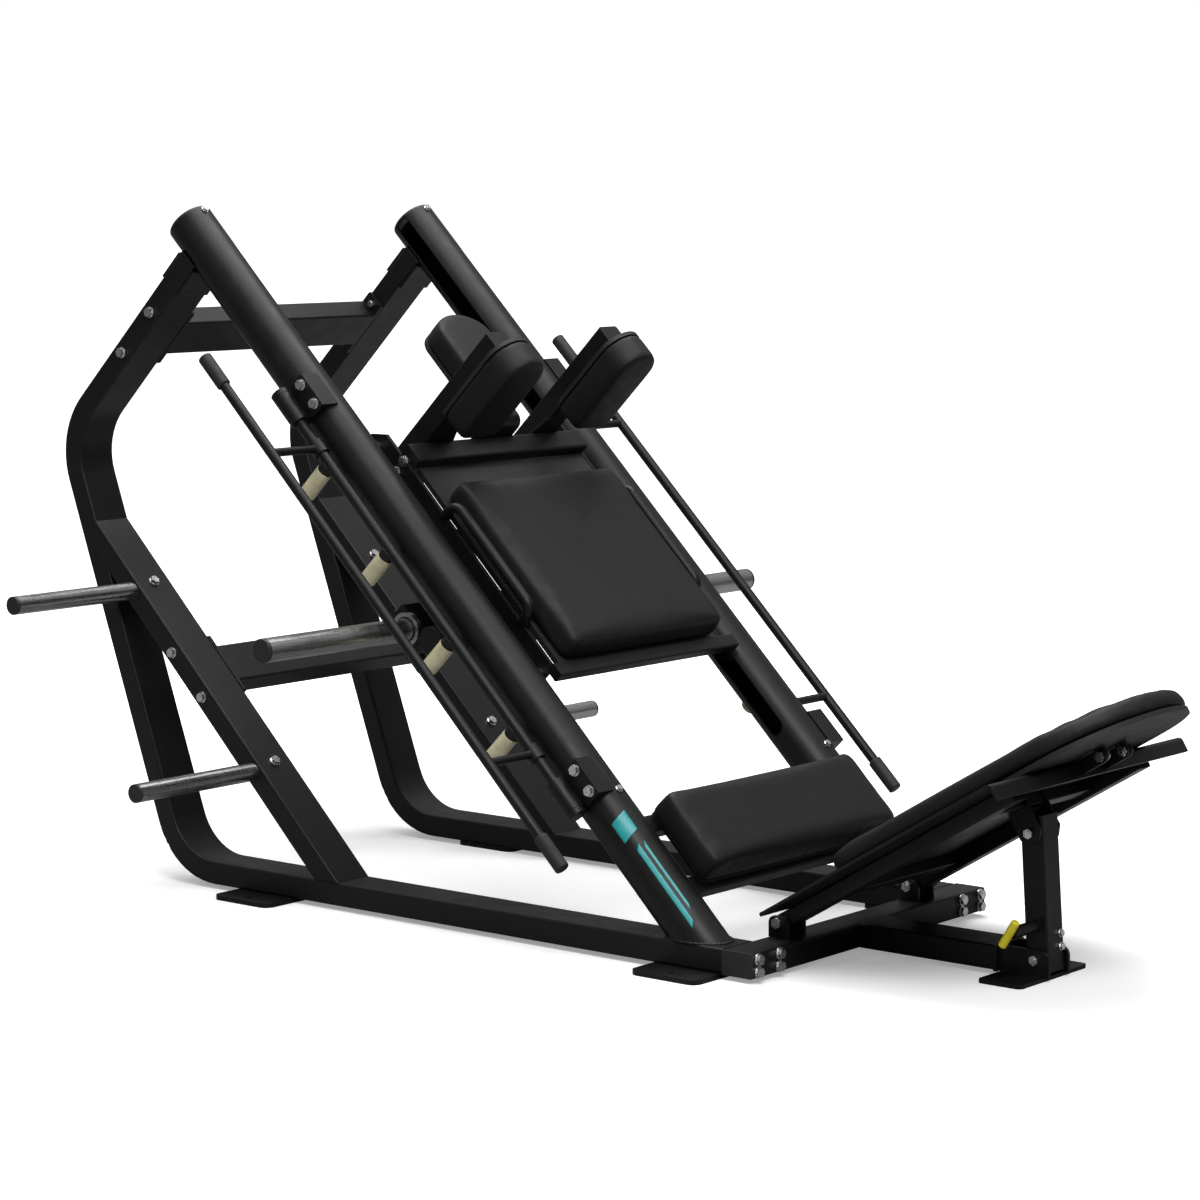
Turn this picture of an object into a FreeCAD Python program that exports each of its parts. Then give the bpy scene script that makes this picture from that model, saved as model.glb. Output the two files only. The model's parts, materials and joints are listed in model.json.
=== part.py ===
import FreeCAD, Part
import math
import os

# Plate-loaded hack squat and leg press machine, in millimetres.
# +X runs across the machine, +Y to its rear, +Z up. The floor is Z = 0.
# Most of the machine lies along two inclined planes, so it is drawn in three local frames:
#   track frame: x across, s up along the guide tubes, t out of their plane towards the user
#   tread frame: x across, a up along the foot board, o out of its top face
#   post frame:  x across, p rearward, q up along the telescopic post

V = FreeCAD.Vector
X_AXIS = V(1, 0, 0)
Y_AXIS = V(0, 1, 0)
Z_AXIS = V(0, 0, 1)
LEFT = -1
RIGHT = 1
SIDES = ((LEFT, "left"), (RIGHT, "right"))

# ---------------------------------------------------------------- driving dimensions
# overall layout
track_angle = 45.0          # guide tubes above the floor, degrees
tube_spacing = 722.0        # guide tube centre to guide tube centre
tube_top = 2034.0           # guide tube length, measured along its axis from the floor rails
foot_height = 10.0          # floor feet, top to bottom

# rectangular frame tube
rail_width = 100.0
rail_height = 50.0
rail_wall = 3.0
rail_corner = 5.0
rail_front_y = -42.5        # front end of the floor rails; the track axis meets them at Y = 0

# bent side frames
top_leg_s = 1956.0          # centre line of the leg that meets the guide tube
knee_foot_y = 1457.0        # where the leaning leg would meet the floor rail
lean_angle = 20.0           # leaning leg from upright, degrees
bend_radius = 155.0         # tube centre line
saddle_length = 60.0
saddle_thick = 6.0
strut_drop = 680.0          # strut centre line below the track axis

# guide tubes
tube_radius = 50.8
tube_wall = 4.0
slot_width = 40.0
slot_start = 487.0          # lower end of the roller slot
cap_thick = 4.0
cap_spigot = 14.0
cap_fit = 0.3               # radial clearance of plugs inside tubes
bumper_length = 55.0
bumper_flange = 20.0
bumper_radius = 42.0
bumper_gap = 3.0            # left under the roller at the bottom of the stroke

# cross tubes and their end flanges
flange_thick = 8.0
flange_length = 160.0
flange_bolt_offset = 64.0
upper_cross_drop = 257.0    # centre below the track axis
mid_cross_s = 1327.0
crossmember_depth = 75.0
center_tube_end_y = -432.0

# storage pegs
peg_radius = 20.0
peg_root_radius = 18.0      # the part inside the strut
peg_length = 349.0
peg_positions = (1052.0, 1570.0)
peg_cap_thick = 6.0

# floor feet
foot_length = 165.0
foot_reach = 80.0
foot_corner = 22.0
foot_positions = (45.0, 1190.0)
anchor_hole = 7.0

# carriage
carriage_rest = 920.0       # latch bar along the track at rest, two millimetres above a lock peg
side_plate_thick = 8.0
side_plate_gap = 26.2        # side plate centre to guide tube
side_plate_half = 42.0
side_plate_low = 724.0
side_plate_high = 1400.0
web_low = 870.0             # web that carries the latch bar and the horn beam
web_high = 1060.0
roller_low = 742.0
roller_high = 1372.0
roller_width = 24.0
roller_fit = 0.35           # running clearance between roller rim and tube bore
axle_radius = 10.0
bore_fit = 0.05
latch_radius = 31.0
latch_clear = 4.7           # latch bar below the guide tubes
latch_short = 28.0          # latch bar ends this far short of the lever shafts
horn_s = 994.0
horn_drop = 140.0
horn_radius = 25.0
horn_length = 419.0
horn_offset = 24.0          # outer face of the horn flange past the guide tube's axis
horn_flange_radius = 36.0
horn_flange_thick = 12.0
horn_cap_thick = 8.0
beam_size = (100.0, 50.0)
axle_collar_radius = 14.0

# carriage cross tubes
lower_cross_s = 708.0
lower_cross_size = (32.0, 24.0)
lower_cross_t = 48.0
lower_cross_past = 20.0     # lower cross tube past the side plate centres
upper_cross_s = 1296.0
upper_cross_size = (50.0, 80.0)
upper_cross_t = 28.0
cross_wall = 3.0
pad_rail_positions = (905.0, 1085.0)
pad_rail_size = (50.0, 30.0)

# upholstery
board_thick = 12.0
back_board_gap = 3.0        # backing plate short of the handles and the upper cross tube
back_pad_width = 526.0
back_pad_low = 727.0
back_pad_high = 1190.0
back_pad_bottom = 47.0
back_pad_thick = 61.0
shoulder_x = 188.0
shoulder_pad_width = 126.0
shoulder_pad_low = 150.0
shoulder_pad_high = 392.0
shoulder_pad_thick = 70.0
shoulder_board = 9.0
shoulder_gusset = (30.0, 110.0)
gusset_thick = 6.0
shoulder_arm_width = 60.0
shoulder_arm_depth = 50.0
shoulder_arm_top = 350.0
shoulder_arm_bottom = -12.0
head_pad_width = 170.0
head_pad_low = 1402.0
head_pad_high = 1592.0
head_pad_bottom = 120.0
head_pad_thick = 58.0
head_board = 9.0
head_bracket_width = 130.0
head_bracket_thick = 6.0
head_bracket_foot = (216.0, 48.0)
head_bracket_bend = 20.0
head_bracket_bolt_x = 89.0
seat_pad_width = 648.0
seat_pad_low = 157.0
seat_pad_high = 353.0
seat_pad_bottom = 50.0
seat_pad_thick = 68.0
seat_frame_positions = (170.0, 325.0)
seat_frame_size = (40.0, 30.0)
pad_corner = 24.0
pad_round = 9.0
grip_bar_radius = 12.0
grip_bar_low = 847.0
grip_bar_high = 1140.0
grip_bar_t = 82.0
grip_bar_bend = 26.0

# lock levers
shaft_gap = 25.2            # lever shaft centre to guide tube
shaft_t = -14.0
shaft_radius = 12.5
lever_reach = 141.0         # lever to its shaft
lever_low = 297.0
lever_high = 1662.0
lever_radius = 11.0
lever_grip_radius = 15.0
lever_grip_length = 82.0
lever_arms = (565.0, 1392.0)
lever_arm_radius = 9.0
lock_peg_radius = 13.8
lock_sleeve_radius = 18.0
lock_peg_top = 20.0         # sleeve starts this far below the shaft centre
lock_peg_length = 74.0
lock_peg_pitch = 239.4
lock_peg_first = 869.0      # the peg under the latch bar at rest
lock_peg_steps = (-1, 0, 1, 2)
sleeve_fit = 0.2
block_positions = (454.0, 1501.0)
block_length = 88.0
block_barrel_radius = 20.0
block_bolt_pitch = 53.0
block_bolt_t = 36.0
block_barrel_length = 72.0
block_stand = 12.2          # bearing block face proud of the guide tube
block_bolt_grip = 31.0      # the bolts end inside the tube wall
collar_length = 12.0
running_gap = 0.8           # axial play between moving collars and fixed faces

# foot board
tread_angle = 30.9
tread_tip_y = -80.0
tread_tip_z = 113.0         # above the floor rails' underside
tread_width = 708.0
tread_length = 619.0
tread_thick = 6.0
tread_lip = 34.0
tread_bend = 8.0
tread_corner = 18.0
tread_arm_x = 230.0
tread_arm_width = 46.0
tread_arm_height = 32.0
tread_arm_end = 585.0
pivot_a = -30.0             # hinge line behind the tip of the board
pivot_o = -21.0
pivot_radius = 7.0
clevis_depth = 48.0
clevis_height = 43.0
clevis_thick = 6.0
clevis_gap = 1.0
stiffener_positions = (84.0, 447.0)
stiffener_width = 40.0
stiffener_height = 22.0

# telescopic post
post_foot_y = -520.0
post_foot_z = 30.0          # above the floor rails' underside
post_head_a = 447.0
post_head_o = -76.0
post_width = 60.0
post_depth = 50.0
post_wall = 3.0
post_fit = 0.5              # sliding clearance between the two post tubes, each side
post_below = 26.0           # sleeve below the foot pivot
post_above = 34.0           # sleeve above the head pivot
inner_length = 196.0
bracket_plate = 8.0
bracket_width = 250.0
bracket_front_y = -552.0
bracket_rear_y = -440.0
bracket_side_height = 52.0
bracket_gap = 1.5
ear_thick = 6.0
ear_gap = 1.0
pin_height = 66.0           # locking pin above the foot pivot, along the post
pin_radius = 6.0
pin_housing_radius = 12.0
pin_housing_length = 88.0
pin_knob_radius = 8.5
pin_knob_length = 62.0

# folding leg press back pad
fold_a = 672.0
fold_o = -14.0
fold_radius = 6.0
fold_ear_x = 46.0
fold_ear_thick = 6.0
fold_ear_gap = 1.0
press_pad_half = 226.0
press_pad_low = 96.0
press_pad_straight = 650.0
press_pad_high = 826.0
press_board_gap = 3.0
press_board_thick = 10.0
press_pad_thick = 46.0

# fasteners
bolt_radius = 6.0
bolt_fit = 0.5
head_radius = 10.4
head_height = 7.5
washer_radius = 12.0
washer_thick = 2.2
small_bolt_radius = 4.0
nut_radius = 8.6
nut_height = 6.0
thread_out = 2.5

# ---------------------------------------------------------------- derived values
tube_x = tube_spacing / 2
rail_z = foot_height
frame_outer = tube_x + rail_width / 2
frame_inner = tube_x - rail_width / 2
tube_bore = tube_radius - tube_wall
side_plate_x = tube_x - tube_radius - side_plate_gap
shaft_x = tube_x + tube_radius + shaft_gap
lever_x = shaft_x + lever_reach
block_face_x = tube_x + tube_radius + block_stand
latch_half = shaft_x - latch_short
horn_base = tube_x + horn_offset
beam_half = horn_base - horn_flange_thick
lower_cross_half = side_plate_x + lower_cross_past
latch_drop = tube_radius + latch_radius + latch_clear
crossmember_front_y = rail_front_y - crossmember_depth
crossmember_mid_y = rail_front_y - crossmember_depth / 2
rail_mid_z = rail_z + rail_height / 2
rail_top_z = rail_z + rail_height
roller_radius = math.sqrt(tube_bore ** 2 - (roller_width / 2) ** 2) - roller_fit
cos_track = math.cos(math.radians(track_angle))

TRACK = FreeCAD.Placement(V(0, 0, rail_z), FreeCAD.Rotation(X_AXIS, track_angle))
TREAD = FreeCAD.Placement(
    V(0, tread_tip_y, rail_z + tread_tip_z),
    FreeCAD.Rotation(Z_AXIS, 180).multiply(FreeCAD.Rotation(X_AXIS, tread_angle)),
)
post_foot = V(0, post_foot_y, rail_z + post_foot_z)
post_head = TREAD.multVec(V(0, post_head_a, post_head_o))
post_rest = (post_head - post_foot).Length
post_lean = math.degrees(math.atan2(post_head.y - post_foot.y, post_head.z - post_foot.z))
POST = FreeCAD.Placement(post_foot, FreeCAD.Rotation(X_AXIS, -post_lean))

nodes = {}

WORLD = FreeCAD.Placement()


# ---------------------------------------------------------------- helpers
def placed(shape, frame):
    """A copy of a shape moved from a local frame to the machine."""
    copy = shape.copy()
    copy.Placement = frame.multiply(copy.Placement)
    return copy


def weld(*shapes):
    """One solid from pieces that meet."""
    return shapes[0].multiFuse(list(shapes[1:])).removeSplitter()


def biggest(shape):
    """The largest solid that a cut leaves."""
    return max(shape.Solids, key=lambda solid: solid.Volume)


def with_side(shape, side):
    """Right-hand shapes are drawn, left-hand ones are their mirror images."""
    if side == LEFT:
        return shape.mirror(V(0, 0, 0), X_AXIS)
    return shape.copy()


def add(name, *shapes, frame=WORLD):
    nodes.setdefault(name, []).extend(placed(shape, frame) for shape in shapes)


def add_pair(name, *shapes, frame=WORLD):
    """The same shapes on both sides. A name with braces makes a node for each side."""
    for side, word in SIDES:
        add(name.format(word), *[with_side(shape, side) for shape in shapes], frame=frame)


def drill(names, tool, frame=WORLD):
    cutter = placed(tool, frame)
    for name in names:
        nodes[name] = [shape.cut(cutter) for shape in nodes[name]]


def drill_pair(names, tool, frame=WORLD):
    for side, word in SIDES:
        drill([name.format(word) for name in names], with_side(tool, side), frame)


def rod(axis, low, high, centre, radius):
    """Cylinder along a principal axis, centred on the other two axes in X, Y, Z order."""
    start = list(centre)
    start.insert(axis, low)
    return Part.makeCylinder(radius, high - low, V(*start), (X_AXIS, Y_AXIS, Z_AXIS)[axis])


def bar(axis, low, high, centre, size, corner):
    """Rectangular bar along a principal axis, with rounded long edges."""
    lows = [centre[0] - size[0] / 2, centre[1] - size[1] / 2]
    highs = [centre[0] + size[0] / 2, centre[1] + size[1] / 2]
    lows.insert(axis, low)
    highs.insert(axis, high)
    shape = Part.makeBox(highs[0] - lows[0], highs[1] - lows[1], highs[2] - lows[2], V(*lows))
    if corner <= 0:
        return shape
    return shape.makeFillet(corner, [e for e in shape.Edges if abs(e.Curve.Direction[axis]) > 0.9])


def tube(axis, low, high, centre, size, wall, corner, end_wall=0.0):
    """Rectangular tube. Its ends are open unless they are given a wall."""
    outer = bar(axis, low, high, centre, size, corner)
    inner_size = (size[0] - 2 * wall, size[1] - 2 * wall)
    inset = end_wall if end_wall > 0 else -1.0
    return outer.cut(bar(axis, low + inset, high - inset, centre, inner_size, max(corner - wall, 0.5)))


def block(x_range, y_range, z_range):
    size = [high - low for low, high in (x_range, y_range, z_range)]
    return Part.makeBox(size[0], size[1], size[2], V(x_range[0], y_range[0], z_range[0]))


def slab(axis, low, high, points):
    """Flat plate: an outline on the other two axes, extruded along one axis."""
    corners = []
    for first, second in points:
        corner = [first, second]
        corner.insert(axis, low)
        corners.append(V(*corner))
    face = Part.Face(Part.makePolygon(corners + corners[:1]))
    return face.extrude((X_AXIS, Y_AXIS, Z_AXIS)[axis] * (high - low))


def round_corners(shape, axis, radius):
    """Round every edge of a plate that runs along its thickness."""
    edges = [e for e in shape.Edges if abs(e.Curve.Direction[axis]) > 0.9]
    return shape.makeFillet(radius, edges)


def section(origin, run, width, height, corner):
    """Rounded rectangle square to a run in a plane of constant X. Width is along X."""
    arcs = []
    for x_side, y_side, end_angle in ((1, -1, 0), (1, 1, 90), (-1, 1, 180), (-1, -1, 270)):
        centre = V(x_side * (width / 2 - corner), y_side * (height / 2 - corner), 0)
        arcs.append(Part.makeCircle(corner, centre, Z_AXIS, end_angle - 90, end_angle))
    edges = []
    for index, arc in enumerate(arcs):
        follower = arcs[(index + 1) % 4]
        edges.append(arc)
        start = arc.valueAt(arc.LastParameter)
        end = follower.valueAt(follower.FirstParameter)
        if (end - start).Length > 1e-6:
            edges.append(Part.makeLine(start, end))
    face = Part.Face(Part.Wire(edges))
    normal = run.cross(X_AXIS)
    return placed(face, FreeCAD.Placement(origin, FreeCAD.Rotation(X_AXIS, normal, run, "ZXY")))


def bent_bar(points, bend, make_section):
    """Straight runs joined by arcs, in a plane of constant X."""
    pieces = []
    start = points[0]
    for index in range(1, len(points)):
        run = (points[index] - points[index - 1]).normalize()
        if index == len(points) - 1:
            pieces.append(make_section(start, run).extrude(points[index] - start))
            break
        following = (points[index + 1] - points[index]).normalize()
        turn = math.acos(max(-1.0, min(1.0, run.dot(following))))
        setback = bend * math.tan(turn / 2)
        arc_start = points[index] - run * setback
        pieces.append(make_section(start, run).extrude(arc_start - start))
        axis = run.cross(following).normalize()
        centre = arc_start + axis.cross(run) * bend
        arc_face = make_section(arc_start, run)
        pieces.append(arc_face.revolve(centre, axis, math.degrees(turn)))
        start = points[index] + following * setback
    return weld(*pieces)


def bent_rod(x, points, bend, radius):
    """Round bar bent in a plane of constant X."""
    def make_section(origin, run):
        return Part.Face(Part.Wire(Part.makeCircle(radius, origin, run)))

    return bent_bar([V(x, first, second) for first, second in points], bend, make_section)


def arch(width, low, high, corner, rise, inset=0.0):
    """Face with two rounded lower corners and a half-ellipse top, in the XY plane."""
    half = width / 2 - inset
    bottom = low + inset
    shoulder = high - rise
    radius = corner - inset
    left_arc = Part.makeCircle(radius, V(radius - half, bottom + radius, 0), Z_AXIS, 180, 270)
    right_arc = Part.makeCircle(radius, V(half - radius, bottom + radius, 0), Z_AXIS, 270, 360)
    crown = Part.Arc(Part.Ellipse(V(0, shoulder, 0), half, rise - inset), 0, math.pi).toShape()
    edges = [
        left_arc,
        Part.makeLine(V(radius - half, bottom, 0), V(half - radius, bottom, 0)),
        right_arc,
        Part.makeLine(V(half, bottom + radius, 0), V(half, shoulder, 0)),
        crown,
        Part.makeLine(V(-half, shoulder, 0), V(-half, bottom + radius, 0)),
    ]
    return Part.Face(Part.Wire(Part.__sortEdges__(edges)))


def cushion(face, bottom, thick, rounding):
    """Upholstered block on a face, with its upper rim rounded."""
    shape = placed(face, FreeCAD.Placement(V(0, 0, bottom), FreeCAD.Rotation())).extrude(Z_AXIS * thick)
    top = bottom + thick - 0.01
    return shape.makeFillet(rounding, [e for e in shape.Edges if e.BoundBox.ZMin > top])


def cushion_block(width, low, high, bottom, thick, corner=pad_corner, rounding=pad_round):
    face = section(V(0, (low + high) / 2, 0), Z_AXIS, width, high - low, corner)
    return cushion(face, bottom, thick, rounding)


def hexagon(radius, height, base, direction):
    """Hexagonal prism for bolt heads and nuts."""
    turn = FreeCAD.Rotation(Z_AXIS, direction)
    corners = []
    for index in range(6):
        angle = math.radians(60 * index)
        corners.append(base + turn.multVec(V(radius * math.cos(angle), radius * math.sin(angle), 0)))
    face = Part.Face(Part.makePolygon(corners + corners[:1]))
    return face.extrude(direction * height)


def fastener(at, into, grip, radius=bolt_radius, nut=True):
    """Washer and hexagon head outside a joint, shank through it, nut beyond it."""
    scale = radius / bolt_radius
    back = into * -1
    head_base = at + back * (washer_thick * scale)
    pieces = [
        Part.makeCylinder(washer_radius * scale, washer_thick * scale, at, back),
        hexagon(head_radius * scale, head_height * scale, head_base, back),
    ]
    reach = grip
    if nut:
        pieces.append(hexagon(nut_radius * scale, nut_height * scale, at + into * grip, into))
        reach = grip + (nut_height + thread_out) * scale
    pieces.append(Part.makeCylinder(radius, reach + 0.5, at + back * 0.5, into))
    return weld(*pieces)


def bolt_pair(group, at, into, grip, through, frame=WORLD, radius=bolt_radius, nut=True, fit=bolt_fit):
    """One fastener on each side of the machine, and the holes it needs."""
    add_pair(group, fastener(at, into, grip, radius, nut), frame=frame)
    tool = Part.makeCylinder(radius + fit, grip + 2.0, at - into, into)
    drill_pair(through, tool, frame)


# ---------------------------------------------------------------- side frames
def side_frame(height, width, corner, front, back_off):
    """Floor rail, leaning leg and top leg bent from one rectangular tube."""
    lean = math.radians(lean_angle)
    corner_s = top_leg_s
    floor_y = knee_foot_y
    rise = (corner_s / cos_track - floor_y - rail_height / 2) / (math.sin(lean) + math.cos(lean))
    knee = V(tube_x, floor_y + rise * math.sin(lean), rail_mid_z + rise * math.cos(lean))
    start = TRACK.multVec(V(tube_x, top_leg_s, -tube_radius / 2 + back_off))
    heel = V(tube_x, floor_y, rail_mid_z)
    toe = V(tube_x, front, rail_mid_z)

    def make_section(origin, run):
        return section(origin, run, width, height, corner)

    return bent_bar([start, knee, heel, toe], bend_radius, make_section)


frame_solid = side_frame(rail_height, rail_width, rail_corner, rail_front_y, 0.0)
frame_bore = side_frame(
    rail_height - 2 * rail_wall,
    rail_width - 2 * rail_wall,
    rail_corner - rail_wall,
    rail_front_y + 2 * rail_wall,
    1.0,
)
tube_solid = placed(rod(1, 0, tube_top, (tube_x, 0), tube_radius), TRACK)
below_rail_top = block((0, 900), (-400, 2600), (-200, rail_top_z))
tube_above_rail = tube_solid.cut(below_rail_top)
add_pair("frame_{}", biggest(frame_solid.cut(frame_bore).cut(tube_above_rail)))

# ---------------------------------------------------------------- guide tubes
guide_tube = tube_solid.cut(placed(rod(1, -50, tube_top + 5, (tube_x, 0), tube_bore), TRACK))
slot_low = slot_start + slot_width / 2
slot_face = tube_x - tube_radius
roller_slot = weld(
    block((slot_face - 10, tube_x - 25), (slot_low, tube_top + 10), (-slot_width / 2, slot_width / 2)),
    rod(0, slot_face - 10, tube_x - 25, (slot_low, 0), slot_width / 2),
)
guide_tube = guide_tube.cut(placed(roller_slot, TRACK)).cut(below_rail_top)
add_pair("guide_tube_{}", biggest(guide_tube))

cap_plug = weld(
    rod(1, tube_top, tube_top + cap_thick, (tube_x, 0), tube_radius),
    rod(1, tube_top - cap_spigot, tube_top, (tube_x, 0), tube_bore - cap_fit),
)
add_pair("end_caps", cap_plug, frame=TRACK)
bumper_top = roller_low - lock_peg_pitch - roller_radius - bumper_gap
bumper_foot = bumper_top - bumper_length
bumper = weld(
    rod(1, bumper_foot, bumper_foot + bumper_flange, (tube_x, 0), tube_bore - cap_fit),
    rod(1, bumper_foot + bumper_flange, bumper_top, (tube_x, 0), bumper_radius),
)
add_pair("tube_bumpers", bumper, frame=TRACK)
bolt_pair(
    "frame_bolts",
    V(tube_x, tube_top - cap_spigot / 2, tube_radius),
    Z_AXIS * -1,
    24,
    ["guide_tube_{}", "end_caps"],
    TRACK,
    small_bolt_radius,
    False,
)
bolt_pair(
    "frame_bolts",
    V(tube_x, bumper_foot + bumper_flange / 2, tube_radius),
    Z_AXIS * -1,
    24,
    ["guide_tube_{}", "tube_bumpers"],
    TRACK,
    small_bolt_radius,
    False,
)

saddle_t = (-tube_radius - saddle_length, -tube_radius + 12)
leg_face = rail_height / 2
for face_s in (top_leg_s - leg_face - saddle_thick, top_leg_s + leg_face):
    saddle = block((frame_inner + 4, frame_outer - 4), (face_s, face_s + saddle_thick), saddle_t)
    add_pair("tube_saddles", biggest(placed(saddle, TRACK).cut(tube_solid)))

# ---------------------------------------------------------------- struts, pegs and cross tubes
strut_size = (rail_width, rail_height)
strut_room = frame_solid.fuse(below_rail_top)
strut_solid = placed(bar(1, 600, 1900, (tube_x, -strut_drop), strut_size, rail_corner), TRACK)
strut_bore_size = (rail_width - 2 * rail_wall, rail_height - 2 * rail_wall)
strut_bore = bar(1, 590, 1910, (tube_x, -strut_drop), strut_bore_size, rail_corner - rail_wall)
strut = biggest(strut_solid.cut(strut_room)).cut(placed(strut_bore, TRACK))
add_pair("strut_{}", biggest(strut))

peg_root = frame_inner + 2 * rail_wall
peg_end = frame_outer + peg_length
for peg_s in peg_positions:
    peg = weld(
        rod(0, peg_root, frame_outer, (peg_s, -strut_drop), peg_root_radius),
        rod(0, frame_outer, peg_end - peg_cap_thick, (peg_s, -strut_drop), peg_radius),
    )
    cap = rod(0, peg_end - peg_cap_thick, peg_end, (peg_s, -strut_drop), peg_radius)
    add_pair("storage_pegs", peg, frame=TRACK)
    add_pair("end_caps", cap.makeFillet(2.0, [cap.Edges[0]]), frame=TRACK)
    socket = rod(0, tube_x, frame_outer + 5, (peg_s, -strut_drop), peg_root_radius + cap_fit)
    drill_pair(["strut_{}"], socket, TRACK)
    bolt_pair(
        "frame_bolts",
        V(tube_x, peg_s, rail_height / 2 - strut_drop),
        Z_AXIS * -1,
        40,
        ["strut_{}", "storage_pegs"],
        TRACK,
        bolt_radius,
        False,
    )


def bolted_cross_tube(name, centre, tube_size, flange_size, bolts, partners):
    """Cross tube with a welded flange at each end, bolted through the side members."""
    flange_face = frame_inner - flange_thick
    pieces = [tube(0, -flange_face, flange_face, centre, tube_size, rail_wall, rail_corner)]
    for low in (-frame_inner, flange_face):
        pieces.append(bar(0, low, low + flange_thick, centre, flange_size, rail_corner))
    add(name, weld(*pieces), frame=TRACK)
    for offset_s, offset_t in bolts:
        at = V(frame_outer, centre[0] + offset_s, centre[1] + offset_t)
        grip = rail_width + flange_thick
        bolt_pair("frame_bolts", at, X_AXIS * -1, grip, [name] + partners, TRACK)


bolted_cross_tube(
    "upper_cross_tube",
    (top_leg_s, -upper_cross_drop),
    (rail_height, rail_width),
    (rail_height, flange_length),
    ((0, -flange_bolt_offset), (0, flange_bolt_offset)),
    ["frame_{}"],
)
bolted_cross_tube(
    "mid_cross_tube",
    (mid_cross_s, -strut_drop),
    (rail_width, rail_height),
    (flange_length, rail_height),
    ((-flange_bolt_offset, 0), (flange_bolt_offset, 0)),
    ["strut_{}"],
)

# ---------------------------------------------------------------- floor members
crossmember_size = (crossmember_depth, rail_height)
crossmember_centre = (crossmember_mid_y, rail_mid_z)
add("front_crossmember", tube(0, -frame_outer, frame_outer, crossmember_centre, crossmember_size,
                              rail_wall, rail_corner))
plug_wall = rail_wall + cap_fit
plug_size = (crossmember_depth - 2 * plug_wall, rail_height - 2 * plug_wall)
plug = weld(
    bar(0, frame_outer, frame_outer + 3, crossmember_centre, crossmember_size, rail_corner),
    bar(0, frame_outer - 12, frame_outer, crossmember_centre, plug_size, 2),
)
add_pair("end_caps", plug)
for bolt_x in (tube_x - 35, tube_x + 35):
    for bolt_z in (rail_mid_z - 12.5, rail_mid_z + 12.5):
        if bolt_x > tube_x:
            drill_pair(["end_caps"], rod(1, -200, 0, (bolt_x, bolt_z), bolt_radius + 1))
        bolt_pair(
            "frame_bolts",
            V(bolt_x, crossmember_front_y, bolt_z),
            Y_AXIS,
            crossmember_depth + 2 * rail_wall,
            ["front_crossmember", "frame_{}"],
        )
add("center_tube", tube(1, center_tube_end_y, crossmember_front_y, (0, rail_mid_z),
                        (rail_width, rail_height), rail_wall, rail_corner))

for foot_y in foot_positions:
    foot = block(
        (frame_inner, frame_outer + foot_reach),
        (foot_y - foot_length / 2, foot_y + foot_length / 2),
        (0, foot_height),
    )
    foot = round_corners(foot, 2, foot_corner)
    anchor = rod(2, -1, foot_height + 1, (frame_outer + foot_reach * 0.62, foot_y), anchor_hole)
    add_pair("floor_feet", foot.cut(anchor))

# ---------------------------------------------------------------- seat between the guide tubes
for seat_s in seat_frame_positions:
    centre = (seat_s, seat_pad_bottom - board_thick - seat_frame_size[1] / 2)
    support = tube(0, -tube_x, tube_x, centre, seat_frame_size, 2.5, 4)
    for side in (LEFT, RIGHT):
        support = support.cut(rod(1, 0, 600, (side * tube_x, 0), tube_radius))
    add("seat_frame", biggest(support), frame=TRACK)
seat_board_half = slot_face - 6
add("seat_board", bar(2, seat_pad_bottom - board_thick, seat_pad_bottom,
                      (0, (seat_pad_low + seat_pad_high) / 2),
                      (2 * seat_board_half, seat_pad_high - seat_pad_low - 12), 10), frame=TRACK)
add("seat_pad", cushion_block(seat_pad_width, seat_pad_low, seat_pad_high, seat_pad_bottom,
                              seat_pad_thick), frame=TRACK)

# ---------------------------------------------------------------- lock lever bearings
barrel_half = block_barrel_length / 2
for block_s in block_positions:
    reach = (block_s - block_length / 2, block_s + block_length / 2)
    ledge_t = shaft_t + block_barrel_radius + 2
    bracket = weld(
        block((tube_x + 15, block_face_x), reach, (ledge_t, block_bolt_t + 16)),
        block((tube_x + 15, block_face_x), (block_s - barrel_half, block_s + barrel_half),
              (shaft_t - 6, ledge_t)),
    )
    bracket = bracket.cut(rod(1, 0, tube_top, (tube_x, 0), tube_radius))
    barrel = rod(1, block_s - barrel_half, block_s + barrel_half, (shaft_x, shaft_t), block_barrel_radius)
    shaft_bore = rod(1, 0, tube_top, (shaft_x, shaft_t), shaft_radius + bore_fit)
    add_pair("hinge_blocks", biggest(bracket.cut(barrel)), barrel.cut(shaft_bore), frame=TRACK)
    for bolt_s in (block_s - block_bolt_pitch / 2, block_s + block_bolt_pitch / 2):
        bolt_pair(
            "frame_bolts",
            V(block_face_x, bolt_s, block_bolt_t),
            X_AXIS * -1,
            block_bolt_grip,
            ["hinge_blocks", "guide_tube_{}"],
            TRACK,
            bolt_radius,
            False,
        )

# ---------------------------------------------------------------- lock levers
shaft_low = block_positions[0] - barrel_half - running_gap - collar_length
shaft_high = block_positions[1] + barrel_half + running_gap + collar_length
shaft_centre = (shaft_x, shaft_t)
lever_pieces = [
    rod(1, shaft_low, shaft_high, shaft_centre, shaft_radius),
    rod(1, shaft_low, shaft_low + collar_length, shaft_centre, block_barrel_radius),
    rod(1, shaft_high - collar_length, shaft_high, shaft_centre, block_barrel_radius),
    rod(1, lever_low + 4, lever_high - 4, (lever_x, shaft_t), lever_radius),
]
for arm_s in lever_arms:
    lever_pieces.append(rod(0, shaft_x, lever_x, (arm_s, shaft_t), lever_arm_radius))
    lever_pieces.append(rod(1, arm_s - 16, arm_s + 16, shaft_centre, shaft_radius + 5))
sleeve_tip = shaft_t - lock_peg_top - lock_peg_length
lock_positions = [lock_peg_first + lock_peg_pitch * step for step in lock_peg_steps]
sleeves = []
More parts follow.
